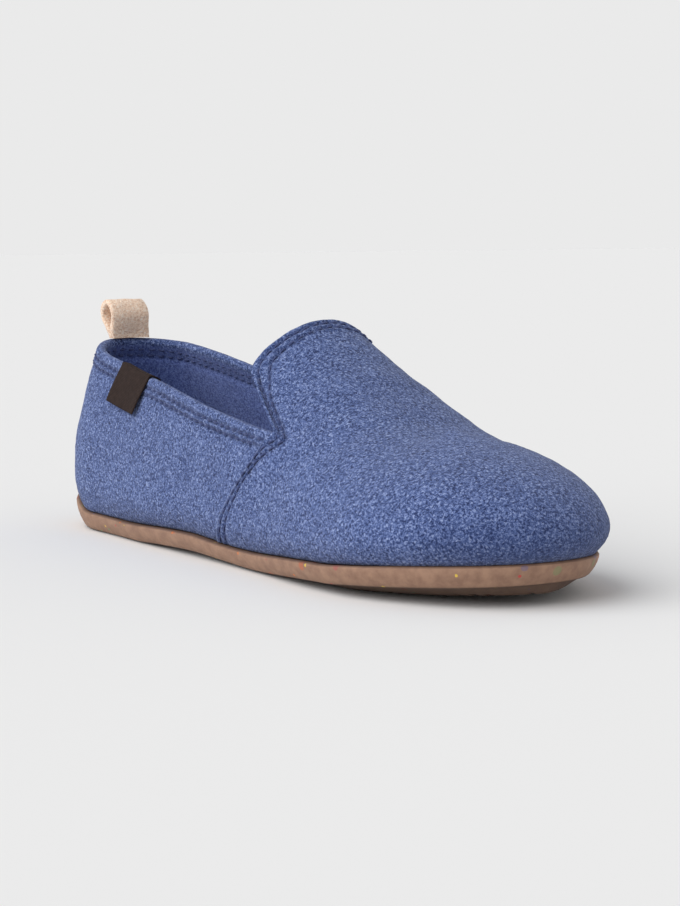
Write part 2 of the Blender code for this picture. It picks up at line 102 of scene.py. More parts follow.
# Shapes of the outline and of the dome's section
HEEL_POWER = 2.1
TOE_POWER = 2.2
HEEL_SHARE = 0.18
TOE_SHARE = 0.72
STRAP_WIDEST = 0.62
STRAP_SEWN = 0.22
STRAP_STRAIGHT = 0.45
STRAP_LEAN = 0.002
HOLE_DROP = 1.25
INSOLE_WRAP = 0.55
LEAN_FADE_FROM = 0.30
LEAN_FADE_OVER = 0.25
SEAM_FOOT_ALONG = 0.484
NOTCH_ALONG = 0.583
LAP_FADE = 0.30

# Fineness of the outline and of the columns
OUTLINE_STEPS = 200
COLUMN_SAMPLES = 40
GATE_LOWEST = 0.3
GATE_HIGHEST = 0.985
COLLAR_SEARCH = (0.2, 1.0)
COLLAR_HALVINGS = 30
NORMAL_REACH = 0.985
NORMAL_STEP = 0.0006
NORMAL_TURN = 0.006
RIM_SEARCH = 0.01
MERGE = 0.000002
TINY = 0.000001


def table(names, *rows):
    """Rows of numbers, with a name for each column."""
    made = namedtuple("Row", names)
    return [made(*row) for row in rows]


# The outline from heel to toe: how far the middle line swings inwards (a share of OUTLINE_SWAY), how
# far the width has gone from the heel's (0) to the ball's (1), how far inside the outline the felt's
# foot stands (a share of FEATHER_INSET), how far the felt bulges out above its foot (a share of
# FELT_BULGE), and how far inside the outline the rubber is cut (a share of SOLE_TRIM)
PLAN = table(
    "along sway spread feather bulge trim",
    (0.00, -0.60, -0.04, 0.35, 0.50, 0.00),
    (0.14, -0.62, -0.02, 0.55, 0.64, 0.00),
    (0.28, -0.90, 0.08, 1.00, 1.00, 0.00),
    (0.42, -0.70, 0.23, 1.00, 1.00, 0.00),
    (0.52, -0.10, 0.46, 1.00, 1.00, 0.00),
    (0.62, 0.50, 0.75, 1.00, 1.00, 0.00),
    (0.70, 0.65, 0.94, 1.00, 1.00, 0.00),
    (0.78, 0.55, 1.00, 1.08, 1.10, 0.20),
    (0.90, 0.40, 0.90, 1.36, 1.55, 0.95),
    (1.00, 0.32, 0.78, 1.38, 1.57, 1.00),
)

# The sole from heel to toe: shares of ARCH_RISE and TOE_SPRING under it, of EDGE_LIFT at its lower
# edge, and of SOLE_SIDE for the height of its side
SOLE = table(
    "along arch spring edge side",
    (0.00, 0.00, 0.00, 0.20, 2.00),
    (0.03, 0.00, 0.00, 0.14, 1.84),
    (0.07, 0.00, 0.00, 0.08, 1.58),
    (0.12, 0.00, 0.00, 0.08, 1.07),
    (0.24, 0.00, 0.00, 0.10, 1.00),
    (0.33, 0.65, 0.00, 0.12, 0.98),
    (0.41, 1.00, 0.00, 0.12, 0.98),
    (0.50, 0.40, 0.00, 0.15, 0.93),
    (0.57, 0.00, 0.00, 0.20, 0.96),
    (0.70, 0.00, 0.00, 0.80, 0.97),
    (0.74, 0.00, 0.00, 0.95, 0.97),
    (0.80, 0.00, 0.22, 1.00, 0.99),
    (0.90, 0.00, 0.57, 1.00, 1.08),
    (1.00, 0.00, 1.00, 0.90, 1.09),
)

# The last's sections: the ridge's height as a share of the way from TOE_HEIGHT (0) to CROWN_HEIGHT
# (1), the power of the section's curve, 2 for an ellipse and more for a squarer one, and how far
# the ridge stands to the inner side, as a share of CREST_SHIFT
RIDGE = table(
    "along height power crest",
    (0.00, 0.990, 2.40, 0.0),
    (0.12, 1.000, 2.40, 0.0),
    (0.26, 1.000, 2.38, 0.2),
    (0.40, 0.958, 2.28, 0.7),
    (0.50, 0.800, 2.18, 1.0),
    (0.60, 0.503, 2.20, 1.0),
    (0.70, 0.238, 2.32, 0.8),
    (0.80, 0.070, 2.42, 0.4),
    (0.90, 0.015, 2.42, 0.1),
    (1.00, 0.000, 2.42, 0.0),
)

# The collar's edge, as a share of the way from NOTCH_HEIGHT (0) to COLLAR_HEIGHT (1), and how much
# lower it dips on the outer side, in the same shares
COLLAR = table(
    "along height dip",
    (0.00, 1.000, 0.00),
    (0.04, 0.970, 0.00),
    (0.08, 0.930, 0.05),
    (0.13, 0.870, 0.10),
    (0.20, 0.760, 0.11),
    (0.30, 0.550, 0.05),
    (0.45, 0.240, 0.00),
    (0.62, 0.000, 0.00),
)

# How far ahead of a straight line the columns of the vamp swing to pass the notch, in metres, for
# each share of the way from the side seam to the ridge
SWINGS = table(
    "way ahead",
    (0.00, 0.0000),
    (0.10, 0.0094),
    (0.20, 0.0158),
    (0.38, 0.0272),
    (0.50, 0.0305),
    (0.60, 0.0250),
    (0.72, 0.0148),
    (0.86, 0.0040),
    (1.00, 0.0000),
)

# The tongue's edge from the notch, over its rounded corner, to the middle of its top: along the
# sole and across the dome, for each share of the way
TONGUE = table(
    "way along across",
    (0.00, 0.583, 0.600),
    (0.20, 0.556, 0.566),
    (0.38, 0.520, 0.525),
    (0.50, 0.490, 0.474),
    (0.58, 0.494, 0.398),
    (0.70, 0.505, 0.270),
    (0.85, 0.511, 0.130),
    (1.00, 0.512, 0.000),
)


class Curve:
    """A smooth curve through the values at some keys, which never swings past them."""

    def __init__(self, keys, values):
        self.keys = keys
        self.values = values
        slopes = []
        for here, there, low, high in zip(keys, keys[1:], values, values[1:]):
            slopes.append((high - low) / (there - here))
        self.tangents = [slopes[0]]
        for before, after in zip(slopes, slopes[1:]):
            level = before * after <= 0
            self.tangents.append(0.0 if level else 2 * before * after / (before + after))
        self.tangents.append(slopes[-1])

    def __call__(self, key):
        key = min(max(key, self.keys[0]), self.keys[-1])
        index = 0
        while key > self.keys[index + 1]:
            index += 1
        span = self.keys[index + 1] - self.keys[index]
        part = (key - self.keys[index]) / span
        rest = 1 - part
        return (
            self.values[index] * (1 + 2 * part) * rest * rest
            + self.tangents[index] * span * part * rest * rest
            + self.values[index + 1] * (3 - 2 * part) * part * part
            - self.tangents[index + 1] * span * part * part * rest
        )


def curves(rows):
    """A curve through each further column of a table, over its first."""
    keys, *columns = zip(*rows)
    return [Curve(keys, values) for values in columns]


SWAY, SPREAD, FEATHER, BULGE, TRIM = curves(PLAN)
ARCH, SPRING, EDGE, SIDE = curves(SOLE)
RIDGE_HEIGHT, SECTION_POWER, CREST = curves(RIDGE)
COLLAR_EDGE, COLLAR_DIP = curves(COLLAR)
NOTCH_SWING, = curves(SWINGS)
TONGUE_ALONG, TONGUE_ACROSS = curves(TONGUE)
HEEL_POLE = HEEL_ROUND
TOE_POLE = SOLE_LENGTH - TOE_ROUND


def middle(x):
    """Y of the sole's middle line."""
    return OUTLINE_SWAY * SWAY(x / SOLE_LENGTH)


def half_width(x):
    """Half the width of the sole, before its ends are rounded."""
    return (HEEL_WIDTH + (BALL_WIDTH - HEEL_WIDTH) * SPREAD(x / SOLE_LENGTH)) / 2


def tread_height(x):
    """Height of the sole's underside, which is 0 under the heel and the ball."""
    share = x / SOLE_LENGTH
    return ARCH_RISE * ARCH(share) + TOE_SPRING * SPRING(share)


def edge_height(x):
    """Height of the lower edge of the sole's side."""
    return tread_height(x) + EDGE_LIFT * EDGE(x / SOLE_LENGTH)


def sole_top(x):
    """Height of the upper edge of the sole's side."""
    return edge_height(x) + SOLE_SIDE * SIDE(x / SOLE_LENGTH)


def round_end(along):
    """Pole, length, power and direction of the rounded end that a place lies in."""
    if along < HEEL_POLE:
        return HEEL_POLE, HEEL_ROUND, HEEL_POWER, -1
    if along > TOE_POLE:
        return TOE_POLE, TOE_ROUND, TOE_POWER, 1
    return along, 1.0, 2.0, 0


def outline_place(share, side):
    """Place on the outline, from the heel's back at share 0 to the toe's tip at 1."""
    if HEEL_SHARE <= share <= TOE_SHARE:
        part = (share - HEEL_SHARE) / (TOE_SHARE - HEEL_SHARE)
        return HEEL_POLE + (TOE_POLE - HEEL_POLE) * part, side
    heel = share < HEEL_SHARE
    turn = (share / HEEL_SHARE if heel else (1 - share) / (1 - TOE_SHARE)) * math.pi / 2
    pole, length, power, sign = round_end(0 if heel else SOLE_LENGTH)
    along = pole + sign * length * max(math.cos(turn), 0) ** (2 / power)
    return along, side * math.sin(turn) ** (2 / power)


def outline_share(along):
    """Share of the outline at a place along its straight stretch."""
    part = (along - HEEL_POLE) / (TOE_POLE - HEEL_POLE)
    return HEEL_SHARE + (TOE_SHARE - HEEL_SHARE) * part


SEAM_SHARE = outline_share(SEAM_FOOT_ALONG * SOLE_LENGTH)
NOTCH_SHARE = outline_share(NOTCH_ALONG * SOLE_LENGTH)


def outline_point(share, side, inset):
    """Point in plan on the rubber's edge, moved inwards by inset."""
    along, across = outline_place(share, side)
    pole = round_end(along)[0]
    edge = Vector((along, middle(along) + half_width(along) * across, 0))
    inwards = Vector((pole, middle(pole), 0)) - edge
    return edge + inwards.normalized() * (inset + SOLE_TRIM * TRIM(along / SOLE_LENGTH))


def dome(along, across):
    """Point of the last's surface over a place."""
    pole, length, power, sign = round_end(along)
    reach = abs(along - pole) / length
    radius = max((reach ** power + abs(across) ** power) ** (1 / power), TINY)
    turn = min(radius, 1) * math.pi / 2
    share = (pole + sign * length * reach / radius) / SOLE_LENGTH
    feather = FEATHER_INSET * FEATHER(share)
    edge_x = pole + sign * (length - feather) * reach / radius
    section = 2 / SECTION_POWER(edge_x / SOLE_LENGTH)
    swell = math.sin(turn) ** section
    level = max(math.cos(turn), 0) ** section
    x = pole + (edge_x - pole) * swell
    half = (half_width(x) - feather) * across / radius
    outwards = Vector((edge_x - pole, half, 0)).normalized()
    rise = (TOE_HEIGHT + (CROWN_HEIGHT - TOE_HEIGHT) * RIDGE_HEIGHT(x / SOLE_LENGTH)) * level
    bulge = FELT_BULGE * BULGE(share) * (1 - max(1 - rise / BULGE_RISE, 0) ** 2)
    heelwards = max(-outwards.x, 0)
    fade = min(max(1 - (edge_x / SOLE_LENGTH - LEAN_FADE_FROM) / LEAN_FADE_OVER, 0), 1)
    lean = HEEL_LEAN * heelwards + SIDE_LEAN * (1 - heelwards) * fade
    push = (bulge - lean * (rise / LEAN_RISE) ** 2) * swell
    y = middle(x) + half * swell + CREST_SHIFT * CREST(x / SOLE_LENGTH) * level
    point = Vector((x, y, sole_top(edge_x) + CLEARANCE + rise))
    return point + outwards * push


def dome_normal(along, across):
    """Direction that points out of the last's surface at a place."""
    pole, length, power, _ = round_end(along)
    radius = ((abs(along - pole) / length) ** power + abs(across) ** power) ** (1 / power)
    if radius > NORMAL_REACH:
        along = pole + (along - pole) * NORMAL_REACH / radius
        across = across * NORMAL_REACH / radius
    forwards = dome(along + NORMAL_STEP, across) - dome(along - NORMAL_STEP, across)
    sideways = dome(along, across + NORMAL_TURN) - dome(along, across - NORMAL_TURN)
    return forwards.cross(sideways).normalized()


def collar_radius(share, side):
    """How far from the ridge the collar's edge cuts the dome, on the way up from a share."""
    along, across = outline_place(share, side)
    pole = round_end(along)[0]
    span = COLLAR_HEIGHT - NOTCH_HEIGHT
    low, high = COLLAR_SEARCH
    for _ in range(COLLAR_HALVINGS):
        radius = (low + high) / 2
        point = dome(pole + (along - pole) * radius, across * radius)
        place = point.x / SOLE_LENGTH
        dip = COLLAR_DIP(place) * max(-side, 0)
        wanted = NOTCH_HEIGHT + span * (COLLAR_EDGE(place) - dip)
        low, high = (radius, high) if point.z > wanted else (low, radius)
    return radius


class Column:
    """A line up the outside of the last, from the sole to the opening's edge.

    Its way is 0 at the heel's back, 1 on the side seam and 2 along the ridge of the toe. On the
    vamp it swings ahead most at its gate, level with the notch, so it doesn't cross the opening.
    A crease is drawn on columns that aren't turned so.
    """

    def __init__(self, way, side, turned=1.0):
        if way <= 1:
            self.foot = outline_place(way * SEAM_SHARE, side)
            share = way * NOTCH_SHARE
            along, across = outline_place(share, side)
            pole = round_end(along)[0]
            radius = collar_radius(share, side)
            self.rim = (pole + (along - pole) * radius, across * radius)
            self.bow = SEAM_BOW * way * way
            self.swing = 0.0
            self.gate = 1.0
        else:
            part = way - 1
            self.foot = outline_place(SEAM_SHARE + (1 - SEAM_SHARE) * part, side)
            notch = collar_radius(NOTCH_SHARE, side)
            across = TONGUE_ACROSS(part) / TONGUE_ACROSS(0) * notch
            self.rim = (TONGUE_ALONG(part) * SOLE_LENGTH, side * across)
            self.bow = SEAM_BOW * max(1 - part / LAP_FADE, 0)
            self.swing = NOTCH_SWING(part) * turned
            self.gate = min(max((1 - notch) / (1 - across), GATE_LOWEST), GATE_HIGHEST)
        self.marks = [0.0]
        last = dome(*self.place_at(0))
        for sample in range(1, COLUMN_SAMPLES + 1):
            point = dome(*self.place_at(sample / COLUMN_SAMPLES))
            self.marks.append(self.marks[-1] + (point - last).length)
            last = point
        self.length = self.marks[-1]

    def place_at(self, part):
        """Place on the dome at a share of the way from the foot to the rim."""
        along = self.foot[0] + (self.rim[0] - self.foot[0]) * part
        across = self.foot[1] + (self.rim[1] - self.foot[1]) * part
        if part > self.gate:
            turn = math.sin((1 - part) / (1 - self.gate) * math.pi / 2)
        else:
            turn = smooth(part / self.gate)
        return along + self.bow * math.sin(math.pi * part) + self.swing * turn, across

    def place(self, distance):
        """Place on the dome at a distance up from the foot."""
        distance = min(max(distance, 0), self.length)
        index = 0
        while index < COLUMN_SAMPLES - 1 and self.marks[index + 1] < distance:
            index += 1
        span = self.marks[index + 1] - self.marks[index]
        return self.place_at((index + (distance - self.marks[index]) / span) / COLUMN_SAMPLES)

    def point(self, distance, lift):
        """Point at a distance up from the foot, lifted off the last, and straight on past the rim."""
        place = self.place(distance)
        normal = dome_normal(*place)
        if distance <= 0:
            normal = Vector((normal.x, normal.y, 0)).normalized()
        point = dome(*place) + normal * lift
        if distance > self.length:
            below = dome(*self.place(self.length - STEP_RUN))
            point += (dome(*place) - below).normalized() * (distance - self.length)
        return point


# Stretches of the felt's columns from the heel's back to the ridge of the toe, closer together on the
# side seam and its stitch rows: the way it starts at, its span and its number of columns
STRETCHES = ((0.0, 0.975, 84), (0.975, 0.075, 24), (1.05, 0.95, 100))

# Fineness of the felt's rows
BODY_ROWS = 66
BAND_ROWS = 22
RIM_ROWS = 8
LINING_ROWS = 34

# The finer band below the rim, the rim's rounding, and how far apart a column on the seam and one a
# whole way ahead of it lie, at the foot and at the rim, in metres
BAND = 0.0105
RIM_SOFT = 0.0017
SEAM_SPREAD_FOOT = 0.149
SEAM_SPREAD_RIM = 0.185

# Unevenness of the felt and of the strap: how many lumps to a metre and how far they rise, up to what
# height the strap's fades in, and the seed that keeps it the same in every run
RIPPLES = ((420, 0.00010), (170, 0.00016), (45, 0.00030))
STRAP_RIPPLES = ((260, 0.00022), (90, 0.00030))
STRAP_STILL = 0.002
STRAP_SEED = 1

# Seams, in metres
COLLAR_ROWS = (0.0044, 0.0070)
COLLAR_ROW_END = 0.994
COLLAR_ROW_STEPS = 240
VAMP_ROW_STEPS = 320
FOOT_CLEAR = 0.0005
HEM_RUN = 0.0012
STITCH_PITCH = 0.0042
STITCH_LENGTH = 0.0031
THREAD = 0.00038
THREAD_ARCH = 1.2
THREAD_DIVE = 2.6
GROOVE_DEPTH = 0.00060
GROOVE_WIDTH = 0.00095
HOLE_DEPTH = 0.00035
HOLE_WIDTH = 0.0008
STITCH_RINGS = 5
STITCH_SIDES = 6

# The vamp's two stitch rows, from the middle of the tongue's top, round its corner and past the
# notch, down the side seam: the way, and the distance down from the rim
VAMP_ROWS = [
    table(
        "step way drop",
        (0.00, 2.000, 0.0028),
        (0.29, 1.560, 0.0038),
        (0.34, 1.490, 0.0075),
        (0.38, 1.430, 0.0105),
        (0.44, 1.330, 0.0102),
        (0.52, 1.220, 0.0090),
        (0.60, 1.100, 0.0072),
        (0.66, 1.030, 0.0078),
        (0.70, 1.014, 0.0112),
        (0.78, 1.012, 0.0220),
        (0.88, 1.016, 0.0400),
        (1.00, 1.019, 0.0620),
    ),
    table(
        "step way drop",
        (0.00, 2.000, 0.0054),
        (0.27, 1.600, 0.0078),
        (0.33, 1.530, 0.0150),
        (0.38, 1.460, 0.0215),
        (0.44, 1.360, 0.0200),
        (0.52, 1.240, 0.0168),
        (0.58, 1.150, 0.0138),
        (0.64, 1.070, 0.0120),
        (0.69, 1.036, 0.0150),
        (0.78, 1.029, 0.0240),
        (0.88, 1.036, 0.0400),
        (1.00, 1.045, 0.0620),
    ),
]

# Soft creases of the worn-in felt: the side, the way and the share of the way up at both ends, the
# half width, and how far the felt rises (sinks where it is below 0), in metres
CREASES = table(
    "side way up to_way to_up wide rise",
    (-1, 1.10, 0.46, 2.00, 0.60, 0.0070, -0.0007),
    (-1, 1.14, 0.66, 2.00, 0.78, 0.0060, 0.0005),
    (1, 1.12, 0.42, 2.00, 0.60, 0.0070, -0.0007),
    (1, 1.16, 0.62, 2.00, 0.78, 0.0060, 0.0005),
    (-1, 0.78, 0.20, 0.86, 0.86, 0.0080, -0.0007),
    (1, 0.74, 0.25, 0.84, 0.90, 0.0080, -0.0006),
    (-1, 0.08, 0.42, 0.46, 0.36, 0.0090, 0.0006),
    (1, 0.10, 0.40, 0.50, 0.34, 0.0090, 0.0005),
    (-1, 1.52, 0.20, 1.80, 0.34, 0.0060, -0.0004),
)
CREASE_STEPS = 24

# Lining patch inside the outer wall: from a way to the side seam, and how far down from the rim
PATCH_WAY = 0.45
PATCH_DROP = 0.034
PATCH_SOFT = 0.003
PATCH_START = 0.02
PATCH_END = 0.01

# Numbers painted on the felt: painted shade in the stitch furrows, a painted highlight along the lap's
# cut edge, the inner side in lighter shades as painted light, the patch, and painted shade along the
# sole and low on the toe
FELT_LAYERS = ("groove", "edge", "lining", "patch", "painted_shade")
HIGHLIGHT_PLACE = 0.0007
HIGHLIGHT_WIDTH = 0.0005
SHADE_RISE = 0.010
SHADE_SHARE = 0.5
TOE_SHADE_FROM = 0.84
TOE_SHADE_RUN = 0.14
TOE_SHADE_RISE = 0.026

Spot = namedtuple("Spot", "point out")


def frame_shift():
    """Move from the last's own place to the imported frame, found from the outsole's box."""
    low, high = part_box("outsole")
    steps = range(OUTLINE_STEPS + 1)
    edges = [outline_point(step / OUTLINE_STEPS, side, 0).y for step in steps for side in (-1, 1)]
    return Vector((low.x, (low.y + high.y) / 2 - (min(edges) + max(edges)) / 2, 0))


SHIFT = frame_shift()


def smooth(value):
    """Soft step from 0 to 1."""
    value = min(max(value, 0), 1)
    return value * value * (3 - 2 * value)


def bell(distance, width):
    """Soft hump, 1 in its middle."""
    return math.exp(-(distance / width) ** 2)


def srgb(red, green, blue):
    """Scene colour from screen values of 0 to 255."""
    shares = [value / 255 for value in (red, green, blue)]
    return tuple(((share + 0.055) / 1.055) ** 2.4 for share in shares)


def operator(operation):
    """Method of a wire that makes a maths node."""
    def maths(wire, other):
        return wire.finish.node("ShaderNodeMath", {"operation": operation}, {0: wire, 1: other})
    return maths


class Wire:
    """One socket of a finish, so that shader maths reads as sums and products."""

    __add__ = operator("ADD")
    __mul__ = operator("MULTIPLY")
    __gt__ = operator("GREATER_THAN")
    __lt__ = operator("LESS_THAN")

    def __init__(self, finish, socket):
        self.finish = finish
        self.socket = socket


class Nodes:
    """A node tree in the making."""

    def __init__(self, tree):
        self.tree = tree

    def node(self, kind, settings=None, sockets=None, output=0):
        """Node of a kind: its settings first, then its sockets' values or links."""
        made = self.tree.nodes.new(kind)
        for key, value in (settings or {}).items():
            setattr(made, key, value)
        for key, value in (sockets or {}).items():
            self.plug(made.inputs[key], value)
        return Wire(self, made.outputs[output])

    def plug(self, socket, value):
        """Give a socket a value, or link it."""
        if isinstance(value, Wire):
            self.tree.links.new(value.socket, socket)
        elif isinstance(value, tuple) and socket.type == "RGBA":
            socket.default_value = (*value, 1)
        else:
            socket.default_value = value

    def ramp(self, factor, stops):
        """Colours picked by a factor, each with its place."""
        made = self.node("ShaderNodeValToRGB", None, {"Fac": factor})
        elements = made.socket.node.color_ramp.elements
        while len(elements) < len(stops):
            elements.new(1.0)
        for element, (place, colour) in zip(elements, stops):
            element.position = place
            element.color = (*colour, 1)
        return made


class Finish(Nodes):
    """A material in the making."""

    def __init__(self, name, colour, roughness, sheen=0.0, specular=0.5):
        self.material = bpy.data.materials.new(name)
        self.material.use_nodes = True
        super().__init__(self.material.node_tree)
        self.shader = self.tree.nodes["Principled BSDF"]
        inputs = {"Base Color": colour, "Roughness": roughness, "Specular IOR Level": specular}
        inputs |= {"Sheen Weight": sheen, "Sheen Roughness": 0.6}
        for key, value in inputs.items():
            self.plug(self.shader.inputs[key], value)
        self.material.diffuse_color = (*colour, 1)
        self.where = self.node("ShaderNodeTexCoord", output="Object")

    def speckle(self, scale, detail=2.0, roughness=0.5, distortion=0.0, where=None):
        """Noise from 0 to 1, with features of about 1 / scale metres."""
        sockets = {"Vector": where or self.where, "Scale": scale, "Detail": detail}
        sockets |= {"Roughness": roughness, "Distortion": distortion}
        return self.node("ShaderNodeTexNoise", None, sockets)

    def stretched(self, turn, scale):
        """Object coordinates turned and stretched, for fibres that lie one way."""
        sockets = {"Vector": self.where, "Rotation": turn, "Scale": scale}
        return self.node("ShaderNodeMapping", None, sockets)

    def mix(self, factor, first, second, blend="MIX"):
        """Two colours blended by a factor."""
        settings = {"data_type": "RGBA", "blend_type": blend}
        return self.node("ShaderNodeMix", settings, {0: factor, 6: first, 7: second}, 2)

    def painted(self, name):
        """Number painted on the piece's points."""
        return self.node("ShaderNodeAttribute", {"attribute_name": name}, None, 2)

    def bump(self, height, strength, distance, under=None):
        """Bump from a height in the range 0 to 1."""
        sockets = {"Height": height, "Strength": strength, "Distance": distance}
        if under:
            sockets["Normal"] = under
        return self.node("ShaderNodeBump", None, sockets)

    def set(self, name, wire):
        """Link a varying input of the shader."""
        self.tree.links.new(wire.socket, self.shader.inputs[name])


# Shades of a felt's fibres, from the shadows between them to the odd pale one
Wool = namedtuple("Wool", "dark body light fleck")
BLUE = Wool(srgb(32, 45, 87), srgb(71, 90, 140), srgb(107, 125, 175), srgb(152, 167, 208))
# the inner side's shades: the same blue felt drawn lighter, as painted light that lifts the shade inside
LIGHTENED_INSIDE = Wool(srgb(66, 81, 134), srgb(89, 107, 168), srgb(107, 126, 186), srgb(127, 146, 202))
BEIGE = Wool(srgb(216, 182, 157), srgb(244, 213, 187), srgb(251, 228, 206), srgb(254, 242, 228))
PATCH = Wool(srgb(88, 82, 80), srgb(108, 101, 97), srgb(124, 117, 112), srgb(140, 134, 128))
NAVY = srgb(66, 78, 126)

# Clumps of fibres, and fibres that lie one way: their turn, how many to a metre each way, and their
# share in the pattern
CLUMPS = 1150
CLUMP_SHARE = 0.50
LYING_FIBRES = table(
    "turn fineness share",
    ((0.4, 0.9, 0.3), (2300, 620, 1500), 0.28),
    ((1.2, 0.2, 1.4), (620, 2300, 1700), 0.22),
)


def fibre_shades(felt, fibres, wool):
    """The shades of one wool, picked by how the fibres lie."""
    return felt.ramp(fibres, list(zip((0.41, 0.49, 0.55, 0.62), wool)))


def felt_finish(name, wool):
    """Boiled wool: fibres of several shades, matted into clumps, with a soft nap."""
    felt = Finish(name, wool.body, 0.95, sheen=0.12, specular=0.12)
    fibres = felt.speckle(CLUMPS, 2.0, 0.6, 0.8) * CLUMP_SHARE
    for lying in LYING_FIBRES:
        where = felt.stretched(lying.turn, lying.fineness)
        fibres = fibres + felt.speckle(1.0, 2.0, 0.6, 0.6, where) * lying.share
    shades = fibre_shades(felt, fibres, wool)
    if wool is BLUE:
        # painted light: the inner side and the footbed in lighter shades of the felt
        shades = felt.mix(felt.painted("lining"), shades, fibre_shades(felt, fibres, LIGHTENED_INSIDE))
        shades = felt.mix(felt.painted("patch"), shades, fibre_shades(felt, fibres, PATCH))
        # painted highlight: the lap's cut edge drawn in the pale fleck shade
        shades = felt.mix(felt.painted("edge") * 0.75, shades, wool.fleck)
        # painted shade: the felt drawn darker along the sole and low on the toe
        shades = felt.mix(felt.painted("painted_shade") * 0.45, shades, wool.dark)
    patches = felt.ramp(felt.speckle(70), [(0.3, (0.88, 0.88, 0.90)), (0.7, (1.0, 1.0, 1.0))])
    shades = felt.mix(1.0, shades, patches, "MULTIPLY")
    # painted shade in the stitch furrows
    shades = felt.mix(felt.painted("groove") * 0.48, shades, wool.dark)
    felt.set("Base Color", shades)
    nap = felt.bump(fibres, 0.9, 0.0008)
    felt.set("Normal", felt.bump(felt.speckle(260), 0.5, 0.0007, nap))
    return felt


# Crumbs in the rubber: how many to a metre, their size in a cell, how few cells have one, how
# strong they show, and their colours
RUBBER_CRUMBS = table(
    "scale size chance share colours",
    (150.0, 0.26, 0.70, 0.46, [
        (0.0, srgb(196, 96, 60)),
        (0.25, srgb(176, 76, 84)),
        (0.45, srgb(96, 96, 140)),
        (0.65, srgb(120, 146, 100)),
        (0.85, srgb(196, 150, 70)),
    ]),
    (420.0, 0.28, 0.95, 0.85, [
        (0.0, srgb(230, 196, 80)),
        (0.35, srgb(214, 120, 60)),
        (0.55, srgb(190, 70, 70)),
        (0.70, srgb(90, 150, 110)),
        (0.85, srgb(90, 104, 170)),
    ]),
)


def scattered(rubber, crumbs):
    """Crumbs scattered in the rubber: whether one shows, and a number for its colour."""
    cells = {"Vector": rubber.where, "Scale": crumbs.scale}
    near = rubber.node("ShaderNodeTexVoronoi", None, cells)
    cell = rubber.node("ShaderNodeTexVoronoi", None, cells, 1)
    colour = rubber.node("ShaderNodeSeparateColor", None, {0: cell})
    dice = rubber.node("ShaderNodeSeparateColor", None, {0: cell}, 1)
    return (near < crumbs.size) * (dice > crumbs.chance), colour


def rubber_finish():
    """Brown recycled rubber: slightly mottled, with faint blots and small bright crumbs of colour."""
    rubber = Finish("brown_rubber", srgb(156, 122, 102), 0.62, specular=0.3)
    mottle = rubber.speckle(240, 3.0, 0.6)
    shades = rubber.ramp(mottle, [(0.35, srgb(142, 110, 92)), (0.65, srgb(164, 130, 108))])
    for crumbs in RUBBER_CRUMBS:
        shown, colour = scattered(rubber, crumbs)
        colours = rubber.ramp(colour, crumbs.colours)
        colours.socket.node.color_ramp.interpolation = "CONSTANT"
        shades = rubber.mix(shown * crumbs.share, shades, colours)
    # darker top lip of the side: a glue line, and painted shade under the felt's overhang
    shades = rubber.mix(rubber.painted("lip") * 0.7, shades, srgb(76, 58, 50))
    # painted shade: the underside and the lowest part of the side drawn darker
    shades = rubber.mix(rubber.painted("under") * 0.75, shades, srgb(60, 48, 42))
    rubber.set("Base Color", shades)
    rubber.set("Normal", rubber.bump(rubber.speckle(1500, 3.0, 0.6), 0.25, 0.0003))
    return rubber


# The ribbon's ribs and threads, in metres, and its shades
RIB_PITCH = 0.00055
WARP_PITCH = 0.00042
RIBBON_SHADES = [(0.3, srgb(34, 25, 23)), (0.55, srgb(49, 37, 34)), (0.75, srgb(65, 52, 48))]


def ribbon_finish():
    """Dark woven ribbon with fine ribs across it."""
    ribbon = Finish("dark_ribbon", srgb(43, 36, 36), 0.85, specular=0.15)
    weave = 0.5
    for name, pitch, share in (("weft", RIB_PITCH, 0.3), ("warp", WARP_PITCH, 0.2)):
        turns = ribbon.painted(name) * (2 * math.pi / pitch)
        weave = ribbon.node("ShaderNodeMath", {"operation": "SINE"}, {0: turns}) * share + weave
    worn = ribbon.speckle(700, 3.0, 0.6)
    ribbon.set("Base Color", ribbon.ramp(weave * 0.5 + worn * 0.5, RIBBON_SHADES))
    ribbon.set("Normal", ribbon.bump(weave, 0.7, 0.0002))
    return ribbon


def thread_finish():
    """Navy sewing thread, twisted."""
    thread = Finish("navy_thread", NAVY, 0.75, sheen=0.1, specular=0.25)
    twist = thread.speckle(2500, 1.0, 0.5)
    thread.set("Base Color", thread.mix(twist, tuple(0.6 * part for part in NAVY), NAVY))
    thread.set("Normal", thread.bump(twist, 0.6, 0.0002))
    return thread


def painted_mesh(*names):
    """Empty mesh, and a layer of numbers on its points for each name."""
    mesh = bmesh.new()
    return mesh, [mesh.verts.layers.float.new(name) for name in names]


def mapped_grid(mesh, columns, rows, place):
    """Grid of faces in a mesh, whose corner at each column and row is put in its place."""
    made = bmesh.ops.create_grid(mesh, x_segments=columns, y_segments=rows, size=0.5)
    for vertex in made["verts"]:
        place(vertex, round((vertex.co.x + 0.5) * columns), round((vertex.co.y + 0.5) * rows))
    bmesh.ops.remove_doubles(mesh, verts=made["verts"], dist=MERGE)


def stand(name, data):
    """Object of a mesh, light or camera, put in the scene."""
    made = bpy.data.objects.new(name, data)
    bpy.context.scene.collection.objects.link(made)
    return made


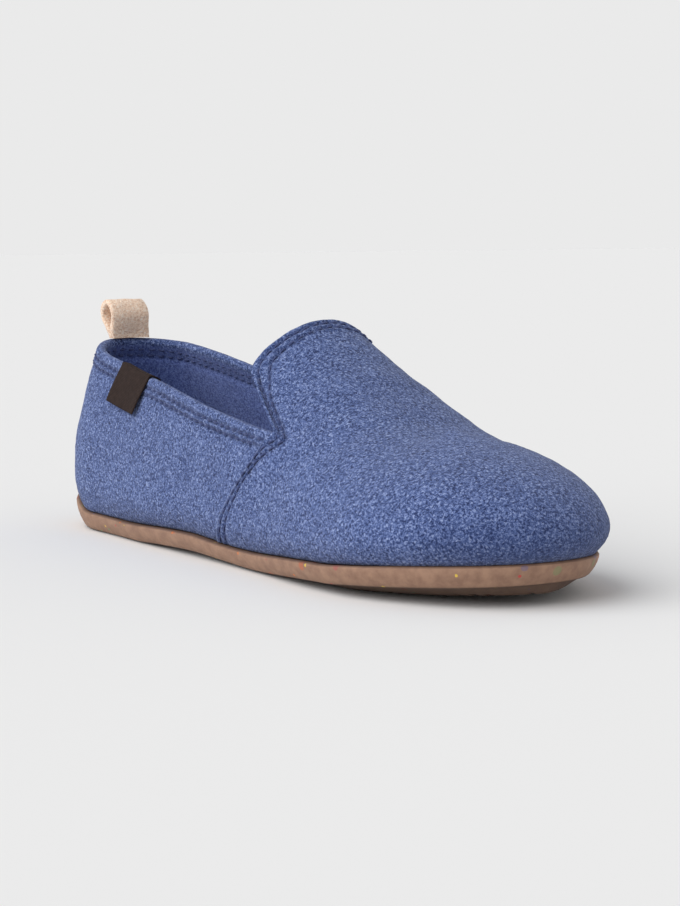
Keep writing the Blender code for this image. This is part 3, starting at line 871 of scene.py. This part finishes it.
def add_piece(name, mesh, finish, crease=60):
    """Piece of the shoe from a mesh, moved onto the frame, with edges sharp above a crease's degrees."""
    bmesh.ops.recalc_face_normals(mesh, faces=mesh.faces)
    bmesh.ops.translate(mesh, verts=mesh.verts, vec=SHIFT)
    data = bpy.data.meshes.new(name)
    mesh.to_mesh(data)
    mesh.free()
    data.materials.append(finish.material)
    data.shade_smooth()
    data.set_sharp_from_angle(angle=math.radians(crease))
    piece = stand(name, data)
    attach(piece, "root")
    return piece


def seam_gap(way, part):
    """How far a way lies ahead of the side seam, at a share of the height."""
    return (way - 1) * (SEAM_SPREAD_FOOT + (SEAM_SPREAD_RIM - SEAM_SPREAD_FOOT) * part)


def hem_lift(column, way, drop):
    """How far the felt stands out at a distance down from the rim, for the hem and for the lap."""
    hem = HEM_STEP * smooth((HEM_DEPTH + HEM_RUN / 2 - drop) / HEM_RUN)
    if way <= 1:
        return hem
    gap = seam_gap(way, 1 - drop / column.length)
    edge = LAP_STEP * smooth(gap / STEP_RUN) * max(1 - (way - 1) / LAP_FADE, 0) ** 2
    return max(hem, edge)


def felt_spot(way, side, drop, inside=False):
    """Place on the felt, and the direction out of it."""
    column = Column(way, side)
    drop = min(drop, column.length - FOOT_CLEAR)
    distance = column.length - drop
    normal = dome_normal(*column.place(distance))
    if inside:
        return Spot(column.point(distance, -WALL), -normal)
    return Spot(column.point(distance, hem_lift(column, way, drop)), normal)


def stitch_rows(side, inside=False):
    """Every stitch row of one side, as a fine line of spots on the felt."""
    rows = []
    for drop in COLLAR_ROWS:
        ways = [COLLAR_ROW_END * step / COLLAR_ROW_STEPS for step in range(COLLAR_ROW_STEPS + 1)]
        rows.append([felt_spot(way, side, drop, inside) for way in ways])
    steps = [step / VAMP_ROW_STEPS for step in range(VAMP_ROW_STEPS + 1)]
    for turns in VAMP_ROWS:
        way, drop = curves(turns)
        rows.append([felt_spot(way(step), side, drop(step), inside) for step in steps])
    return rows


def crease_lines():
    """Each crease with the search tree of its spots."""
    lines = []
    for crease in CREASES:
        spots = []
        for step in range(CREASE_STEPS + 1):
            part = step / CREASE_STEPS
            column = Column(crease.way + (crease.to_way - crease.way) * part, crease.side, turned=0.0)
            up = crease.up + (crease.to_up - crease.up) * part
            spots.append(Spot(column.point(column.length * up, 0.0), None))
        lines.append((crease, near_tree(spots)))
    return lines


def crease_rise(creases, point):
    """How far the creases lift the felt at a point."""
    rise = 0.0
    for crease, tree in creases:
        _, index, away = tree.find(point)
        last = 1.0 if max(crease.way, crease.to_way) < 2.0 else 0.5
        fade = math.sin(math.pi * last * index / CREASE_STEPS)
        rise += crease.rise * fade * bell(away, crease.wide)
    return rise


def even_spots(line, pitch):
    """Spots at even distances on a line of spots."""
    found = [line[0]]
    left = pitch
    for here, there in zip(line, line[1:]):
        span = (there.point - here.point).length
        while span >= left:
            point = here.point + (there.point - here.point).normalized() * left
            here = Spot(point, there.out)
            found.append(here)
            span -= left
            left = pitch
        left -= span
    return found


def near_tree(spots):
    """Search tree for the nearest of some spots."""
    tree = kdtree.KDTree(len(spots))
    for index, spot in enumerate(spots):
        tree.insert(spot.point, index)
    tree.balance()
    return tree


def felt_ways():
    """Ways of the felt's columns, with the ridge's own at the end."""
    ways = [start + span * step / count for start, span, count in STRETCHES for step in range(count)]
    return ways + [2.0]


def wall_rows(column, way):
    """Distance, lift and side of each row round the wall: outside, band, rim, inside."""
    top = column.length
    distances = [(top - BAND) * row / BODY_ROWS for row in range(BODY_ROWS)]
    distances += [top - BAND + (BAND - RIM_SOFT) * row / BAND_ROWS for row in range(BAND_ROWS)]
    rows = [(distance, hem_lift(column, way, top - distance), 0.0) for distance in distances]
    outer = hem_lift(column, way, RIM_SOFT)
    for row in range(RIM_ROWS + 1):
        turn = math.pi * row / RIM_ROWS
        lift = (outer - WALL) / 2 + (outer + WALL) / 2 * math.cos(turn)
        rows.append((top - RIM_SOFT + RIM_SOFT * math.sin(turn), lift, 0.0))
    for row in range(1, LINING_ROWS + 1):
        rows.append(((top - RIM_SOFT) * (1 - row / LINING_ROWS), -WALL, 1.0))
    return rows


def ripple(point):
    """Small unevenness of the felt at a point: lumps, and a slower swell."""
    return sum(noise.noise(point * scale) * depth for scale, depth in RIPPLES)


def patch_share(way, side, drop):
    """Whether the lining patch covers a place inside the upper."""
    if side > 0:
        return 0.0
    down = smooth((PATCH_DROP - drop) / PATCH_SOFT)
    return down * smooth((way - PATCH_WAY) / PATCH_START) * smooth((1.0 - way) / PATCH_END)


def painted_shade_share(x, height):
    """Painted shade: how much darker the felt is drawn at a height above its foot."""
    toe = smooth((x / SOLE_LENGTH - TOE_SHADE_FROM) / TOE_SHADE_RUN)
    return max(smooth(1 - height / SHADE_RISE) * SHADE_SHARE, toe * smooth(1 - height / TOE_SHADE_RISE))


def build_upper(seams, holes, creases, finish):
    """Felt upper with its hem, lapped side seams and the furrows that the stitches pull."""
    ways = felt_ways()
    loop = [(way, -1) for way in ways] + [(way, 1) for way in reversed(ways)][1:]
    columns = [Column(way, side) for way, side in loop]
    walls = [wall_rows(column, way) for column, (way, side) in zip(columns, loop)]
    rows = len(walls[0])
    mesh, layers = painted_mesh(*FELT_LAYERS)

    def place(vertex, column, row):
        distance, lift, inner = walls[column][row % rows]
        way, side = loop[column]
        line = columns[column]
        drop = line.length - distance
        last = line.point(distance, 0.0)
        out = line.point(distance, 1.0) - last
        point = last + out * lift
        # cut sinks the felt into the stitch furrows, and is painted as shade there
        cut = bell(seams.find(point)[2], GROOVE_WIDTH)
        depth = ripple(point) - GROOVE_DEPTH * cut - HOLE_DEPTH * bell(holes.find(point)[2], HOLE_WIDTH)
        depth += crease_rise(creases, last) * (1 - 2 * inner)
        vertex.co = point + out * depth * (1 - 2 * inner)
        # painted highlight along the lap's cut edge
        edge = bell(seam_gap(way, distance / line.length) - HIGHLIGHT_PLACE, HIGHLIGHT_WIDTH) * (1 - inner)
        patch = patch_share(way, side, drop) * inner
        # painted shade along the sole and low on the toe
        painted_shade = painted_shade_share(point.x, distance) * (1 - inner)
        for layer, number in zip(layers, (cut, edge, inner, patch, painted_shade)):
            vertex[layer] = number

    mapped_grid(mesh, len(loop) - 1, rows, place)
    piece = add_piece("felt_upper", mesh, finish, 75)
    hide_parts("upper")


def build_stitches(rows, finish):
    """Thread along every row: one short arched stitch after another."""
    mesh = bmesh.new()
    for line in rows:
        ends = even_spots(line, STITCH_PITCH)
        for here, there in zip(ends, ends[1:]):
            along = (there.point - here.point).normalized()
            sideways = here.out.cross(along).normalized()
            centre = (here.point + there.point) / 2

            def place(vertex, column, row):
                share = 2 * column / STITCH_RINGS - 1
                turn = 2 * math.pi * (row % STITCH_SIDES) / STITCH_SIDES
                thick = THREAD * math.sqrt(max(1 - share ** 4, 0.0))
                rise = THREAD * (THREAD_ARCH - THREAD_DIVE * share ** 4) - GROOVE_DEPTH
                spoke = sideways * math.cos(turn) + here.out * math.sin(turn)
                vertex.co = centre + along * STITCH_LENGTH * share / 2 + here.out * rise + spoke * thick

            mapped_grid(mesh, STITCH_RINGS, STITCH_SIDES, place)
    add_piece("seam_thread", mesh, finish, 80)


def heel_rim():
    """Middle of the rim at the heel's back, its highest point, and how far it curves under the strap."""
    line = Column(0.0, -1)
    back = line.point(line.length, (HEM_STEP - WALL) / 2)
    way = 0.0
    edge = back
    heights = []
    while abs(edge.y - back.y) < STRAP_WIDTH / 2:
        way += RIM_SEARCH
        line = Column(way, -1)
        edge = line.point(line.length, (HEM_STEP - WALL) / 2)
        heights.append(line.point(line.length - RIM_ROUND, HEM_STEP).z)
        heights.append(line.point(line.length, HEM_STEP - RIM_ROUND).z)
    return Vector((back.x, back.y, max(heights))), edge.x - back.x


def strap_depth(height):
    """Half the folded strap's depth at a share of its height: two layers below, a round top above."""
    if height < STRAP_WIDEST:
        return STRAP_THICKNESS + (LOOP_DEPTH / 2 - STRAP_THICKNESS) * smooth(height / STRAP_WIDEST)
    part = (height - STRAP_WIDEST) / (1 - STRAP_WIDEST)
    return LOOP_DEPTH / 2 * math.sqrt(max(1 - part * part, 0))


# The strap's section: across its width from -1 to 1, and through it from 0 outside to 1 inside
STRAP_SECTION = table(
    "across through",
    (-0.93, 0.00),
    (-0.50, -0.03),
    (0.00, 0.00),
    (0.50, -0.03),
    (0.93, 0.00),
    (0.98, 0.14),
    (1.00, 0.38),
    (1.00, 0.62),
    (0.98, 0.86),
    (0.93, 1.00),
    (0.50, 1.00),
    (0.00, 1.00),
    (-0.50, 1.00),
    (-0.93, 1.00),
    (-0.98, 0.86),
    (-1.00, 0.62),
    (-1.00, 0.38),
    (-0.98, 0.14),
)
STRAP_STEPS = 40
STRAP_SLIT = 0.00004


def build_heel_loop(finish):
    """Felt strap folded over, with both its ends on the rim at the heel's back."""
    noise.seed_set(STRAP_SEED)
    top, bend = heel_rim()
    half = STRAP_WIDTH / 2
    steps = [(-1, step) for step in range(STRAP_STEPS + 1)]
    steps += [(1, step) for step in reversed(range(STRAP_STEPS))]
    rows = len(STRAP_SECTION)
    low = STRAP_SEWN * LOOP_HEIGHT
    high = LOOP_HEIGHT - STRAP_THICKNESS
    mesh = bmesh.new()

    def place(vertex, column, row):
        cap = column in (0, len(steps) + 1)
        sign, step = steps[min(max(column - 1, 0), len(steps) - 1)]
        share = (1 - math.cos(math.pi * step / STRAP_STEPS)) / 2
        outer = Vector((strap_depth(share), LOOP_HEIGHT * share))
        opened = max((high * share - low) / (high - low), 0)
        gap = (LOOP_DEPTH / 2 - STRAP_THICKNESS) * math.sin(math.pi * min(opened, 1) ** HOLE_DROP)
        inner = Vector((max(gap, 0) + STRAP_SLIT, high * share))
        edge = STRAP_SECTION[row % rows]
        profile = outer.lerp(inner, 0.5 if cap else edge.through)
        across = 0.0 if cap else edge.across
        curve = bend * max(1 - profile.y / (STRAP_STRAIGHT * LOOP_HEIGHT), 0)
        x = top.x + sign * profile.x + curve * across ** 2 - STRAP_LEAN * profile.y / LOOP_HEIGHT
        point = Vector((x, top.y + half * across, top.z + profile.y))
        lump = Vector()
        for scale, depth in STRAP_RIPPLES:
            lump += noise.noise_vector(point * scale) * depth
        vertex.co = point + lump * min(1, profile.y / STRAP_STILL)

    mapped_grid(mesh, len(steps) + 1, rows, place)
    piece = add_piece("heel_loop", mesh, finish, 70)
    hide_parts("pull_loop")


# The label's ribbon, in metres, and the fineness of its mesh
RIBBON_THICKNESS = 0.00045
RIBBON_GAP = 0.00025
RIBBON_CURL = 0.0003
RIBBON_CORNERS = 0.0005
RIBBON_COLUMNS = 24
RIBBON_ROWS = 12


def build_ribbon(finish):
    """Blank ribbon folded over the collar's rim on the outer side."""
    start = outline_share(LABEL_PLACE) / NOTCH_SHARE
    end = outline_share(LABEL_PLACE + LABEL_WIDTH) / NOTCH_SHARE
    over = RIBBON_GAP + RIBBON_THICKNESS
    front = HEM_STEP + over
    back = -(WALL + over)
    down = 2 * RIBBON_ROWS
    folds = [(-LABEL_FRONT_DROP * (1 - row / down), front) for row in range(down)]
    for row in range(RIBBON_ROWS + 1):
        turn = math.pi * row / RIBBON_ROWS
        lift = (front + back) / 2 + (front - back) / 2 * math.cos(turn)
        folds.append((over * math.sin(turn), lift))
    folds += [(-LABEL_BACK_DROP * row / RIBBON_ROWS, back) for row in range(1, RIBBON_ROWS + 1)]
    mesh, (warp, weft) = painted_mesh("warp", "weft")

    def place(vertex, column, row):
        distance, lift = folds[row]
        slant = min(distance, 0) * LABEL_SLANT / (NOTCH_ALONG * SOLE_LENGTH)
        share = column / RIBBON_COLUMNS
        line = Column(start + (end - start) * share + slant, -1)
        low = smooth(-distance / LABEL_FRONT_DROP) if lift > 0 else 0.0
        curl = low * (RIBBON_CURL + RIBBON_CORNERS * (2 * share - 1) ** 2)
        vertex.co = line.point(line.length + distance, lift + curl)
        vertex[warp] = LABEL_WIDTH * share
        vertex[weft] = distance + lift

    mapped_grid(mesh, RIBBON_COLUMNS, len(folds) - 1, place)
    piece = add_piece("woven_label", mesh, finish)
    solid = piece.modifiers.new("thickness", "SOLIDIFY")
    solid.thickness = RIBBON_THICKNESS
    solid.offset = -1
    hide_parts("side_label")


# Rings of the sole's side from top to bottom: inset, and share of the side's height from its top
SIDE_RINGS = table(
    "inset share",
    (0.0034, 0.02),
    (0.0012, 0.00),
    (0.0004, 0.03),
    (0.0000, 0.10),
    (0.0001, 0.22),
    (0.0006, 0.42),
    (0.0014, 0.62),
    (0.0024, 0.80),
    (0.0032, 0.92),
    (0.0039, 0.985),
    (0.0046, 1.00),
)
# How far down the side the darker lip reaches (glue line and painted shade)
LIP_GLUE_AND_SHADE_SHARE = 0.07
# How far up the side the underside's painted shade reaches
UNDERSIDE_SHADE_SHARE = 0.08
SOLE_STATIONS = 380

# Tread: grooves across the sole that wave, and end before its edge
TREAD_ROWS = 120
TREAD_PITCH = 0.0052
TREAD_DEPTH = 0.0009
TREAD_BORDER = 0.008
TREAD_FADE = 0.0015
TREAD_SWAY = 0.0016
TREAD_WAVE = 0.016
TREAD_STEEP = 3.2
TREAD_FLAT = 0.55


def build_sole(finish):
    """Rubber sole: rounded and tapered side, arch, toe spring, and a fine wavy tread."""
    rings = [(-1, ring) for ring in SIDE_RINGS]
    under = [(0, 2 * row / TREAD_ROWS - 1) for row in range(1, TREAD_ROWS)]
    section = rings + under + [(1, ring) for ring in reversed(SIDE_RINGS)]
    mesh, (lip, underside_shade) = painted_mesh("lip", "under")

    def place(vertex, column, row):
        side, ring = section[row % len(section)]
        share = column / SOLE_STATIONS
        x = outline_place(share, 1)[0]
        vertex[lip] = 0.0
        # painted shade: the whole underside is drawn darker
        vertex[underside_shade] = 0.0 if side else 1.0
        if side:
            point = outline_point(share, side, ring.inset)
            point.z = sole_top(x) - (sole_top(x) - edge_height(x)) * ring.share
            vertex.co = point
            # glue line and painted shade at the top of the side
            vertex[lip] = smooth((LIP_GLUE_AND_SHADE_SHARE - ring.share) / LIP_GLUE_AND_SHADE_SHARE)
            vertex[underside_shade] = smooth((ring.share - 1 + UNDERSIDE_SHADE_SHARE) / UNDERSIDE_SHADE_SHARE)
            return
        inset = SIDE_TAPER + LIP_ROUND
        left = outline_point(share, -1, inset)
        right = outline_point(share, 1, inset)
        point = left.lerp(right, (ring + 1) / 2)
        rim = min((point - left).length, (point - right).length)
        rise = edge_height(x) + (tread_height(point.x) - edge_height(x)) * smooth(rim / EDGE_BEVEL)
        wave = point.x + TREAD_SWAY * math.sin(2 * math.pi * point.y / TREAD_WAVE)
        groove = smooth(TREAD_STEEP * (abs(2 * (wave / TREAD_PITCH % 1) - 1) - TREAD_FLAT))
        point.z = rise + TREAD_DEPTH * groove * smooth((rim - TREAD_BORDER) / TREAD_FADE)
        vertex.co = point

    mapped_grid(mesh, SOLE_STATIONS, len(section), place)
    piece = add_piece("rubber_sole", mesh, finish, 40)
    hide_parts("outsole")


# The footbed: how far its edge is rounded down and dished, in metres, and its mesh's fineness
INSOLE_ROUND = 0.0010
INSOLE_ROUND_RUN = 0.0016
INSOLE_DISH = 0.0008
INSOLE_DISH_RUN = 0.02
INSOLE_STATIONS = 150
INSOLE_ACROSS = 44


def build_insole(finish):
    """Felt-covered footbed, a little dished, that fills the bottom of the upper."""
    lift = -(WALL + CLEARANCE)
    ways = [2 * step / INSOLE_STATIONS for step in range(INSOLE_STATIONS + 1)]
    edges = {}
    for side in (-1, 1):
        lines = [Column(way, side) for way in ways]
        for level, rise in enumerate((0.0, INSOLE_THICKNESS * INSOLE_WRAP)):
            edges[side, level] = [line.point(rise, lift) for line in lines]
    across = [(0, 0.0)] + [(1, row / INSOLE_ACROSS) for row in range(INSOLE_ACROSS + 1)] + [(0, 1.0)]
    mesh, (lining,) = painted_mesh("lining")

    def place(vertex, column, row):
        level, share = across[row % len(across)]
        left = edges[-1, level][column]
        right = edges[1, level][column]
        point = left.lerp(right, share)
        rim = min(share, 1 - share) * (left - right).length
        thick = INSOLE_THICKNESS * level - INSOLE_ROUND * smooth(1 - rim / INSOLE_ROUND_RUN) * level
        dish = INSOLE_DISH * smooth(rim / INSOLE_DISH_RUN) * level
        point.z = sole_top(point.x) + CLEARANCE + thick - dish + ripple(point) * level
        vertex.co = point
        # the footbed takes the lighter inside shades too, as painted light
        vertex[lining] = 1.0

    mapped_grid(mesh, INSOLE_STATIONS, len(across), place)
    piece = add_piece("felt_insole", mesh, finish, 50)
    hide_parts("insole")


# Camera. The photograph's looks at the shoe from the outer side of its toe. This one stands in the
# same place, turned and zoomed in to the one shoe.
VIEW_TURN = math.radians(55.97)
VIEW_RISE = math.radians(6.33)
VIEW_DISTANCE = 0.8522
VIEW_TARGET = Vector((0.141, 0.0, 0.030))
LOOK_TURN = math.radians(55.206)
LOOK_RISE = math.radians(5.7906)
LENS = 92.955
NEAREST = 0.01


def build_camera():
    """Camera at the photograph's place, turned and zoomed to frame the one shoe."""
    away = Vector((math.sin(VIEW_TURN), -math.cos(VIEW_TURN), 0)) * math.cos(VIEW_RISE)
    away.z = math.sin(VIEW_RISE)
    eye = VIEW_TARGET + SHIFT + away * VIEW_DISTANCE
    back = Vector((math.sin(LOOK_TURN), -math.cos(LOOK_TURN), 0)) * math.cos(LOOK_RISE)
    back.z = math.sin(LOOK_RISE)
    right = Vector((math.cos(LOOK_TURN), math.sin(LOOK_TURN), 0))
    up = back.cross(right)
    turned = Matrix((right, up, back)).transposed().to_4x4()
    data = bpy.data.cameras.new("camera")
    data.lens = LENS
    data.clip_start = NEAREST
    camera = stand("camera", data)
    camera.matrix_world = Matrix.Translation(eye) @ turned
    bpy.context.scene.camera = camera


# Light: the key's direction, strength and softness, and the room's shade, which is PAPER up to the
# height BAND_TOP on a unit sphere and fades to ZENITH at FADE_TOP
KEY_FROM = Vector((-0.08, -0.72, 0.69)).normalized()
KEY_STRENGTH = 2.1
KEY_SOFTNESS = math.radians(66)
PAPER = 0.823
ZENITH = 0.46
BAND_TOP = 0.30
FADE_TOP = 0.55


def build_light():
    """Soft studio light: a pale room that is dimmer overhead, and a broad key from the front."""
    world = bpy.data.worlds.new("room")
    world.use_nodes = True
    room = Nodes(world.node_tree)
    direction = room.node("ShaderNodeTexCoord", output="Generated")
    height = room.node("ShaderNodeSeparateXYZ", None, {0: direction}, 2)
    shades = room.ramp(height, [(BAND_TOP, (PAPER,) * 3), (FADE_TOP, (ZENITH,) * 3)])
    background = world.node_tree.nodes["Background"]
    room.plug(background.inputs["Color"], shades)
    bpy.context.scene.world = world
    data = bpy.data.lights.new("key", "SUN")
    data.energy = KEY_STRENGTH
    data.angle = KEY_SOFTNESS
    key = stand("key", data)
    key.rotation_mode = "QUATERNION"
    key.rotation_quaternion = KEY_FROM.to_track_quat("Z", "Y")


# The light that reaches the open floor, as a share of a white room's
FLOOR_LIGHT = 0.98
FLOOR_REACH = 6.0


def build_floor():
    """Pale floor whose shade meets the room's at the horizon."""
    mesh = bmesh.new()
    bmesh.ops.create_grid(mesh, x_segments=4, y_segments=4, size=FLOOR_REACH)
    data = bpy.data.meshes.new("floor")
    mesh.to_mesh(data)
    mesh.free()
    paper = Finish("pale_paper", (PAPER / FLOOR_LIGHT,) * 3, 1.0, specular=0.0)
    data.materials.append(paper.material)
    floor = stand("floor", data)


def main():
    """Dress the frame, light it and point the camera."""
    blue = felt_finish("blue_felt", BLUE)
    lines = []
    for side in (-1, 1):
        lines += stitch_rows(side) + stitch_rows(side, inside=True)
    seams = near_tree([spot for line in lines for spot in line])
    holes = near_tree([spot for line in lines for spot in even_spots(line, STITCH_PITCH)])
    build_upper(seams, holes, crease_lines(), blue)
    build_stitches(lines, thread_finish())
    build_heel_loop(felt_finish("beige_felt", BEIGE))
    build_ribbon(ribbon_finish())
    build_sole(rubber_finish())
    build_insole(blue)
    build_floor()
    build_light()
    build_camera()
    bpy.context.scene.view_settings.view_transform = "Standard"


main()
